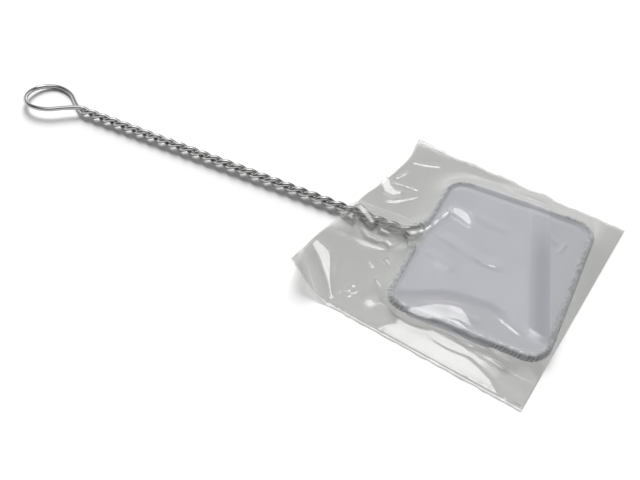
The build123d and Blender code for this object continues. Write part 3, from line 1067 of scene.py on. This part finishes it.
def flap_density_and_shade(x, y):
    """Density of the upper layer: painted shade at its near edge and in the fold, less on the far side."""
    to_fold = fold_right(y) - x
    fading = 1 - FOLD_FADE * eased((y - FOLD_FADE_Y) / FOLD_FADE_EASE)
    # The fold holds more layers, and painted roll shade darkens it most a little inside its right edge
    rolled = eased((FOLD_WIDTH + FOLD_LIP - to_fold) / FOLD_DARK_EASE)
    rolled = rolled * (0.5 + 0.6 * np.exp(-((to_fold - FOLD_DARK_PLACE) / FOLD_DARK_WIDTH) ** 2))
    # Painted shade along the flap's near edge
    shade = edge_shade(x, y - edge_at(FLAP_NEAR, x), EDGE_SHADE_REACH["flap"])
    denser = np.maximum(FLAP_DENSITY_AND_SHADE["fold"] * fading * rolled, FLAP_DENSITY_AND_SHADE["edge"] * shade)
    return FLAP_DENSITY_AND_SHADE["plain"] + denser


def keep_shares(piece, name, shares):
    """Keeps a number at each point of a piece, for its material."""
    stored = piece.data.attributes.new(name, "FLOAT", "POINT")
    stored.data.foreach_set("value", np.asarray(shares, np.float32).ravel())


def row_xy(along, across):
    """Row frame coordinates of places in the bag's own axes."""
    return along * ALONG[0] + across * ACROSS[0], along * ALONG[1] + across * ACROSS[1]


def film_supports(along, across):
    """Lowest height that the upper film can have over the floor, hem, net and handle."""
    x, y = row_xy(along, across)
    lowest = np.full(x.shape, FILM_FLOOR)
    out = hoop_distance(x, y)
    gap = HEM_RADIUS + FILM_CLEAR
    on_hem = (np.abs(out) < gap) & ((x > HEM_OPEN_X) | (np.abs(y) > HEM_OPEN_Y))
    lowest = np.maximum(lowest, np.where(on_hem, round_top(out, gap), 0))
    lowest = np.where(out < INSIDE_HEM, np.maximum(lowest, pocket_top(x, y) + FILM_CLEAR), lowest)
    gap = STRAND_RADIUS + WIRE_RADIUS + FILM_CLEAR
    on_handle = (np.abs(y) < gap) & (x < TWIST_END_X)
    lowest = np.where(on_handle, np.maximum(lowest, round_top(y, gap)), lowest)
    spread = NECK_BEND_Y * np.clip((x - TWIST_END_X) / (-HOOP_X - TWIST_END_X), 0, 1) ** LEG_CURVE
    on_neck = (np.abs(y) < spread + LEG_REACH) & (x >= TWIST_END_X) & (x < LEG_END_X)
    return np.where(on_neck, np.maximum(lowest, AXIS_HEIGHT + WIRE_RADIUS + NECK_CLEAR), lowest)


def film_ceiling(along, across):
    """Highest place of the slack film, which falls steeply from the hoop and handle to the floor."""
    x, y = row_xy(along, across)
    out = hoop_distance(x, y)
    taut = eased((along - TAUT_START) / TAUT_EASE) * eased(across / TAUT_WIDTH)
    fall = HOOP_FALL + (FAR_FALL - HOOP_FALL) * taut
    from_hoop = HEM_TOP + HOOP_GAP - fall * np.maximum(out - HEM_RADIUS, 0)
    handle_top = AXIS_HEIGHT + STRAND_RADIUS + WIRE_RADIUS + HANDLE_GAP
    handle_fall = np.where(y < 0, HANDLE_FALL["near"], HANDLE_FALL["far"])
    from_handle = handle_top - handle_fall * np.maximum(np.abs(y) - HANDLE_HALF_WIDTH, 0)
    from_handle = np.where(x < -HOOP_X, from_handle, 0)
    ceiling = soft_max(np.maximum(from_hoop, from_handle), FOOT_HEIGHT, FOOT_ROUND)
    sail_edge = edge_at(SAIL_EDGE, along)
    sail = np.maximum(np.minimum(across, sail_edge) - NEAR_SEAM, 0)
    sail_height = SEAM_HEIGHT + SAIL_SLOPE * sail - SAIL_FALL * np.maximum(across - sail_edge, 0)
    on_sail = (across < SAIL_TOP) & (along > SAIL_LEFT)
    ceiling = np.where(on_sail, np.minimum(ceiling, sail_height), ceiling)
    return np.where(out < 0, FREE_HEIGHT, ceiling)


def settle_film(lowest, highest, sag):
    """Heights of a slack film, held at its two seams and closed end and free at its mouth."""
    height = np.clip(lowest + FIRST_LIFT, lowest, highest)
    row, column = np.indices(height.shape)
    free = np.ones(height.shape, bool)
    for edge in FILM_EDGES:
        free[edge] = False
    height[~free] = lowest[~free]
    for _ in range(SETTLE_SWEEPS):
        for odd in (0, 1):
            ring = np.pad(height, 1, mode="edge")
            mean = (ring[:-2, 1:-1] + ring[2:, 1:-1] + ring[1:-1, :-2] + ring[1:-1, 2:]) / 4 - sag / 4
            moved = np.clip(height + SETTLE_SPEED * (mean - height), lowest, highest)
            chosen = free & ((row + column) % 2 == odd)
            height = np.where(chosen, moved, height)
    return height


def softened(height, passes):
    """Heights with their sharp turns rounded, held at the edges."""
    for _ in range(passes):
        ring = np.pad(height, 1, mode="edge")
        mean = (ring[:-2, 1:-1] + ring[2:, 1:-1] + ring[1:-1, :-2] + ring[1:-1, 2:]) / 4
        height = 0.5 * height + 0.5 * mean
    return height


def lift_corner(places, hinge, angle):
    """Bends what lies to the left of a hinge line upwards, round a soft radius."""
    along, across, height = places
    start, end = np.array(hinge, float)
    run = (end - start) / np.linalg.norm(end - start)
    outward = np.array([-run[1], run[0]])
    beyond = np.maximum((along - start[0]) * outward[0] + (across - start[1]) * outward[1], 0)
    bent = np.minimum(beyond / CORNER_BEND_RADIUS, angle)
    straight = beyond - bent * CORNER_BEND_RADIUS
    forward = CORNER_BEND_RADIUS * np.sin(bent) + straight * np.cos(bent) - height * np.sin(bent)
    rise = CORNER_BEND_RADIUS * (1 - np.cos(bent)) + straight * np.sin(bent)
    shift = np.where(beyond > 0, forward - beyond, 0)
    return along + outward[0] * shift, across + outward[1] * shift, height * np.cos(bent) + rise


def laid_film(along, across, height):
    """Points of the film in the row frame, with the two corners of the mouth curled up."""
    places = lift_corner((along, across, height), NEAR_CORNER_HINGE, NEAR_CORNER_LIFT)
    places = lift_corner(places, FAR_CORNER_HINGE, FAR_CORNER_LIFT)
    x, y = row_xy(places[0], places[1])
    return np.stack([x, y, places[2]], axis=-1)


def standing_share(corners):
    """How far the film stands up at the mouth at each point, which darkens its tint as painted shade."""
    at_mouth = eased((STANDING_START - corners[:, :2] @ ALONG) / STANDING_EASE)
    return at_mouth * eased((corners[:, 2] - STANDING_FOOT) / STANDING_RISE)


def crumpled_share(corners):
    """How crumpled the upper film is beside the handle's near side, at each of its points."""
    x, y, z = corners.T
    crumpled = eased((CRUMPLED_START_Y - y) / CRUMPLED_START_EASE)
    crumpled = crumpled * eased((y - CRUMPLED_END_Y) / CRUMPLED_END_EASE)
    crumpled = crumpled * eased((CRUMPLED_RIGHT_X - x) / CRUMPLED_END_EASE)
    return crumpled * (z > CRUMPLED_FLOOR)


def film_grid(rows, columns):
    """Places of the flat film in the bag's own axes, rows across and columns along."""
    share = np.linspace(0, 1, rows)[:, None]
    across = NEAR_SEAM + (FAR_SEAM - NEAR_SEAM) * share + np.zeros((1, columns))
    mouth = edge_at(MOUTH_EDGE, across)
    along = mouth + (BAG_END - mouth) * np.linspace(0, 1, columns)[None, :]
    return along, across + seam_drift(along, across)


def seam_drift(along, across):
    """How far the far seam wanders from its straight line, fading towards the middle of the bag."""
    loose = eased((DRIFT_END - along) / DRIFT_END_EASE) * eased((across - DRIFT_START) / DRIFT_WIDTH)
    return loose * sum(waves(along, 0 * along, *wave) for wave in SEAM_WAVES)


def dash_fold(along, across, height, dash):
    """A short narrow fold of the film, a little above the film under it."""
    start, end, width, slope = dash
    start, end = np.array(start), np.array(end)
    run = (end - start) / np.linalg.norm(end - start)
    side = np.array([-run[1], run[0]]) * width / 2
    corners = [start - side, end - side, end + side, start + side]
    middle = (start + end) / 2
    under = np.argmin(np.hypot(along - middle[0], across - middle[1]))
    first = height.flat[under] + DASH_LIFT + np.array(slope) @ (corners[0] - middle)
    return {"outline": corners, "slope": slope, "height": first, "soft": DASH_SOFT}


def raised_fold(along, across, height, fold):
    """Height of the film with a flat fold raised on it, where the fold lies above it."""
    first_along, first_across = fold["outline"][0]
    rise = fold["slope"][0] * (along - first_along) + fold["slope"][1] * (across - first_across)
    share = inside_outline(along, across, fold["outline"], fold["soft"])
    return height + share * np.maximum(fold["height"] + rise - height, 0)


def upper_film_height(along, across, sag):
    """Height of the upper film: slack over what it covers, with its creases, folds and waves."""
    lowest = film_supports(along, across)
    for edge in FILM_EDGES:
        lowest[edge] = SEAM_HEIGHT
    highest = np.maximum(film_ceiling(along, across), lowest)
    spacing = (FAR_SEAM - NEAR_SEAM) / (len(along) - 1)
    settled = settle_film(lowest, highest, sag * spacing**2)
    height = np.maximum(softened(settled, SOFTENING_PASSES), lowest)
    for crease in FILM_CREASES:
        height = height + ridge_height(along, across, crease)
    dashes = [dash_fold(along, across, height, dash) for dash in FILM_DASHES]
    for fold in [*FILM_FOLDS.values(), *dashes]:
        height = raised_fold(along, across, height, fold)
    border = np.minimum(np.minimum(across - NEAR_SEAM, FAR_SEAM - across), BAG_END - along)
    free = eased(border / BORDER_EASE)
    slack = eased((SLACK_START - along) / SLACK_EASE)
    for tight_height, slack_height, pitch, seed in FILM_WAVES:
        wave_height = tight_height + slack_height * slack
        height = height + free * wave_height * value_noise(along, across, pitch, seed)
    away = np.hypot(along - CRINKLE_PLACE[0], across - CRINKLE_PLACE[1])
    crinkle = CRINKLE_HEIGHT * (1 - eased((away - CRINKLE_RADIUS) / CRINKLE_EASE))
    height = height + crinkle * value_noise(along, across, CRINKLE_PITCH, CRINKLE_SEED)
    pucker = eased(border / PUCKER_EASE) * (1 - eased((across - NEAR_SEAM) / PUCKER_REACH))
    pucker = PUCKER_HEIGHT * pucker * value_noise(along, across, PUCKER_PITCH, PUCKER_SEED)
    height = height + pucker
    height = np.maximum(height, lowest)
    return np.where(border > 0, height, settled)


def lower_film_height(along, across):
    """Height of the lower film, which lies on the floor and rises to the seams."""
    border = np.minimum(across - NEAR_SEAM, FAR_SEAM - across)
    rise = (SEAM_HEIGHT - LOWER_HEIGHT) * (1 - eased(border / LOWER_EASE))
    return LOWER_HEIGHT + waves(along, across, *LOWER_WAVE) + rise


class FishNetPlateWire(bpy.types.Operator):
    """Wind the handle's strands and give all the wire its plating"""

    bl_idname = "fish_net.plate_wire"
    bl_label = "Plate the wire"

    def execute(self, context):
        material = plated_wire_material(context.scene.fish_net_wire)
        for name in WIRE_NODES:
            frame["nodes"][name].data.materials.clear()
            frame["nodes"][name].data.materials.append(material)
        tree, sockets = strand_tree()
        values = {"Wire Diameter": 2 * WIRE_RADIUS * MM, "Strand Radius": STRAND_RADIUS * MM,
                  "Twist Length": TWIST_LENGTH * MM, "Twist Angle": TWIST_ANGLE,
                  "First Angle": math.pi / 2 - LOOP_TILT, "Start": (TWIST_END_X - TWIST_LENGTH) * MM,
                  "Axis Height": AXIS_HEIGHT * MM, "Steps": 700, "Sides": 20, "Material": material}
        start = line_object("handle_axis", [(0, 0, 0), (1, 0, 0)])
        strands = grown_piece("handle_strands", start, tree, sockets, values)
        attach(strands, "net")
        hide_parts("near_strand", "far_strand")
        return {"FINISHED"}


class FishNetSewHem(bpy.types.Operator):
    """Make the hem round the hoop and its thread"""

    bl_idname = "fish_net.sew_hem"
    bl_label = "Sew the hem"

    def execute(self, context):
        settings = context.scene.fish_net_hem
        tree, sockets = sleeve_tree()
        values = {"Diameter": 2 * HEM_RADIUS * MM, "Step": 0.6 * MM, "Unevenness": 0.7 * MM, "Sides": 24,
                  "Material": hem_material(settings)}
        hem = grown_piece("hem_binding", line_object("hem_line", hoop_line()), tree, sockets, values)
        tree, sockets = stitch_tree()
        values = {"Wrap Diameter": 2 * HEM_RADIUS * MM, "Thread Diameter": settings.thread_diameter,
                  "Pitch": settings.stitch_pitch, "Slant": math.radians(32), "Seed": 4,
                  "Material": thread_material(settings)}
        thread = grown_piece("hem_thread", line_object("thread_line", hoop_line()), tree, sockets, values)
        for piece in (hem, thread):
            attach(piece, "net")
        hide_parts("hem_sleeve")
        return {"FINISHED"}


class FishNetFoldPocket(bpy.types.Operator):
    """Lay the mesh pocket over the hoop in its two layers"""

    bl_idname = "fish_net.fold_pocket"
    bl_label = "Fold the pocket"

    def execute(self, context):
        material = net_material(context.scene.fish_net_pocket)
        points = lower_layer_points(LAYER_STEPS)
        layer = new_object("net_layer", points, grid_faces(LAYER_STEPS, LAYER_STEPS))
        spots = np.array([vertex.co[:2] for vertex in layer.data.vertices]) / MM
        # The stored shares darken the net where layers lie together and where shade is painted
        keep_shares(layer, "layers", layer_density_and_shade(spots[:, 0], spots[:, 1]))
        points = flap_points(*FLAP_STEPS)
        flap = new_object("net_flap", points.reshape(-1, 3), grid_faces(*points.shape[:2]))
        keep_shares(flap, "layers", flap_density_and_shade(points[..., 0], points[..., 1]))
        for piece in (layer, flap):
            piece.data.materials.append(material)
            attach(piece, "net")
        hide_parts("net_lower_layer")
        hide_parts("net_upper_layer", "net_fold_roll")
        return {"FINISHED"}


class FishNetWrapBag(bpy.types.Operator):
    """Lay the film bag round the hoop, with its welded seams"""

    bl_idname = "fish_net.wrap_bag"
    bl_label = "Wrap the bag"

    def execute(self, context):
        settings = context.scene.fish_net_bag
        rows, columns = FILM_STEPS
        along, across = film_grid(rows, columns)
        upper = upper_film_height(along, across, settings.sag)
        lower = lower_film_height(along, across)
        for edge in FILM_EDGES:
            lower[edge] = upper[edge] = SEAM_HEIGHT
        points = np.concatenate([laid_film(along, across, upper).reshape(-1, 3),
                                 laid_film(along, across, lower).reshape(-1, 3)])
        faces = grid_faces(rows, columns) + grid_faces(rows, columns, rows * columns, turned=True)
        film = new_object("bag_film", points, faces)
        close = bmesh.new()
        close.from_mesh(film.data)
        bmesh.ops.remove_doubles(close, verts=close.verts, dist=SAME_PLACE * MM)
        close.to_mesh(film.data)
        close.free()
        corners = np.array([vertex.co[:] for vertex in film.data.vertices]) / MM
        # Painted shade: the film that stands up at the mouth is given a darker tint
        keep_shares(film, "darker_tone", standing_share(corners))
        keep_shares(film, "crumpled", crumpled_share(corners))
        film.data.materials.append(film_material(
            "clear_film", settings, tint_share=1.0, darker_tone_share=0.9, roughness=settings.roughness,
            crinkle=0.12))
        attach(film, "bag")
        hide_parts("bag_lower_film", "bag_upper_film", "bag_far_side", "bag_near_side",
                    "bag_closed_end")
        seams = self.seams(settings, columns)
        return {"FINISHED"}

    def seams(self, settings, columns):
        """Two welded strips along the bag's long edges, uneven where they were cut."""
        points, faces, depth = [], [], []
        for inner, outer, seed in ((NEAR_SEAM, NEAR_EDGE, 31), (FAR_SEAM, FAR_EDGE, 32)):
            share = np.linspace(0, 1, WELD_STEPS)[:, None] + np.zeros((1, columns))
            mouth = float(edge_at(MOUTH_EDGE, inner))
            along = mouth + (BAG_END - mouth) * np.linspace(0, 1, columns)[None, :]
            along = along + np.zeros((WELD_STEPS, 1))
            ragged = 1 - RAGGED_SHARE * (1 + value_noise(along, 0 * along, RAGGED_PITCH, seed)) * share
            across = inner + (outer - inner) * share * ragged
            across = across + seam_drift(along, across)
            scallop = value_noise(along, across, SCALLOP_PITCH, seed + 2)
            crown = BEAD_CROWN * np.sin(np.pi * share) * (1 + scallop)
            bead = BEAD_OUTER + (SEAM_HEIGHT - BEAD_OUTER) * (1 - share) + crown
            first = sum(len(block) for block in points)
            points.append(laid_film(along, across, bead).reshape(-1, 3))
            depth.append(eased((share - WELD_DARK_START) / WELD_DARK_EASE).ravel())
            faces += grid_faces(WELD_STEPS, columns, first, turned=outer < inner)
        seams = new_object("bag_seams", np.concatenate(points), faces)
        keep_shares(seams, "darker_tone", np.concatenate(depth))
        seams.data.materials.append(film_material(
            "film_weld", settings, tint_share=0.95, darker_tone_share=0.5, roughness=0.2, crinkle=0.5, milky=3.0))
        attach(seams, "bag")
        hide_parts("bag_far_weld", "bag_near_weld")
        return seams


class FishNetSetStage(bpy.types.Operator):
    """Make the floor, the lamps, the room and the camera"""

    bl_idname = "fish_net.set_stage"
    bl_label = "Set the stage"

    def execute(self, context):
        settings = context.scene.fish_net_stage
        scene = context.scene
        scene.view_settings.view_transform = "Standard"
        self.floor(settings)
        key = self.lamp("key_lamp", settings.key_azimuth, settings.key_elevation, settings.key_spread,
                        settings.key_level)
        key.visible_glossy = False
        rim = self.lamp("rim_lamp", settings.rim_azimuth, settings.rim_elevation, settings.rim_spread,
                        settings.rim_level)
        self.spare_from_shadow(key, rim)
        self.world(settings, scene)
        self.camera(settings, scene)
        return {"FINISHED"}

    def floor(self, settings):
        """A wide floor just under the bag."""
        half, drop = 3000.0, -0.05
        corners = [(-half, -half, drop), (half, -half, drop), (half, half, drop), (-half, half, drop)]
        floor = new_object("floor", corners, [(0, 1, 2, 3)])
        floor.data.materials.append(floor_material(settings))

    def lamp(self, name, azimuth, elevation, spread, level):
        """A far round lamp with a given angular radius, aimed at the hoop."""
        distance = 1.6
        lamp = bpy.data.lights.new(name, "SUN")
        lamp.angle = 2 * spread
        lamp.energy = math.pi * level / math.sin(elevation)
        flat = math.cos(elevation)
        towards = Vector((-math.sin(azimuth) * flat, math.cos(azimuth) * flat, math.sin(elevation)))
        holder = bpy.data.objects.new(name, lamp)
        holder.location = towards * distance
        holder.rotation_euler = towards.to_track_quat("Z", "Y").to_euler()
        bpy.context.scene.collection.objects.link(holder)
        return holder

    def spare_from_shadow(self, *lamps):
        """Lets the lamps' light reach under the soft pieces, as a softbox round the hoop would."""
        soft = bpy.data.collections.new("soft_pieces")
        for name in SOFT_PIECES:
            soft.objects.link(bpy.data.objects[name])
        for entry in soft.collection_objects:
            entry.light_linking.link_state = "EXCLUDE"
        for lamp in lamps:
            lamp.light_linking.blocker_collection = soft

    def world(self, settings, scene):
        """A room with a low white backdrop, bright behind the net and dim above and behind the camera.

        Shiny surfaces also show a white ceiling, which lights no matt one.
        """
        world = bpy.data.worlds.new("room")
        world.use_nodes = True
        tree = world.node_tree
        tree.nodes.clear()
        place = node(tree, "ShaderNodeTexCoord").outputs["Generated"]
        height = node(tree, "ShaderNodeSeparateXYZ", {"Vector": place}).outputs["Z"]
        away = (-math.sin(settings.azimuth), math.cos(settings.azimuth), 0.0)
        facing = node(tree, "ShaderNodeVectorMath", {0: place, 1: away}, operation="DOT_PRODUCT")
        behind = ramp(tree, facing.outputs["Value"], 0.0, 0.4, 0.0, settings.room_level)
        low_glow = ramp(tree, height, 0.1, 0.4, 5.5, 1.0)
        dim_top = ramp(tree, height, 0.6, 0.95, 1.0, 0.25)
        back = math_node(tree, "MULTIPLY", behind, math_node(tree, "MULTIPLY", low_glow, dim_top))
        backdrop = ramp(tree, height, 0.12, 0.3, 1.0, 0.10)
        shiny = node(tree, "ShaderNodeLightPath").outputs["Is Glossy Ray"]
        overhead = ramp(tree, height, 0.82, 0.93, 0.0, settings.ceiling_level)
        ceiling = math_node(tree, "MULTIPLY", shiny, overhead)
        level = math_node(tree, "MAXIMUM", math_node(tree, "MAXIMUM", back, backdrop), ceiling)
        glow = node(tree, "ShaderNodeBackground", {"Color": (1.0, 1.0, 1.0, 1.0), "Strength": level})
        node(tree, "ShaderNodeOutputWorld", {"Surface": glow.outputs[0]})
        scene.world = world

    def camera(self, settings, scene):
        """The camera at the photograph's place."""
        camera = bpy.data.cameras.new("camera")
        camera.sensor_width = 36.0
        camera.lens = settings.lens
        camera.clip_start = 0.01
        holder = bpy.data.objects.new("camera", camera)
        level = math.cos(settings.elevation)
        back = Vector((math.sin(settings.azimuth) * level, -math.cos(settings.azimuth) * level,
                       math.sin(settings.elevation)))
        holder.location = settings.position
        holder.rotation_euler = (-back).to_track_quat("-Z", "Y").to_euler()
        scene.collection.objects.link(holder)
        scene.camera = holder


class FishNetPanel(bpy.types.Panel):
    """Steps and sizes of the fish net"""

    bl_idname = "VIEW3D_PT_fish_net"
    bl_label = "Fish net"
    bl_space_type = "VIEW_3D"
    bl_region_type = "UI"
    bl_category = "Fish net"

    def draw(self, context):
        for step in OPERATORS:
            self.layout.operator(step.bl_idname)
        for name, group in GROUPS.items():
            box = self.layout.box()
            for field in group.__annotations__:
                box.prop(getattr(context.scene, name), field)


GROUPS = {"fish_net_wire": FishNetWire, "fish_net_hem": FishNetHem, "fish_net_pocket": FishNetPocket,
          "fish_net_bag": FishNetBag, "fish_net_stage": FishNetStage}
OPERATORS = (FishNetPlateWire, FishNetSewHem, FishNetFoldPocket, FishNetWrapBag, FishNetSetStage)


def register():
    """Add the groups of sizes, the operators and the panel."""
    for entry in (*GROUPS.values(), *OPERATORS, FishNetPanel):
        bpy.utils.register_class(entry)
    for name, group in GROUPS.items():
        setattr(bpy.types.Scene, name, bpy.props.PointerProperty(type=group))


def unregister():
    """Take them away again."""
    for name in GROUPS:
        delattr(bpy.types.Scene, name)
    for entry in (FishNetPanel, *reversed(OPERATORS), *reversed(GROUPS.values())):
        bpy.utils.unregister_class(entry)


def main():
    """Build the whole net."""
    register()
    bpy.ops.fish_net.plate_wire()
    bpy.ops.fish_net.sew_hem()
    bpy.ops.fish_net.fold_pocket()
    bpy.ops.fish_net.wrap_bag()
    bpy.ops.fish_net.set_stage()


if __name__ == "__main__":
    main()
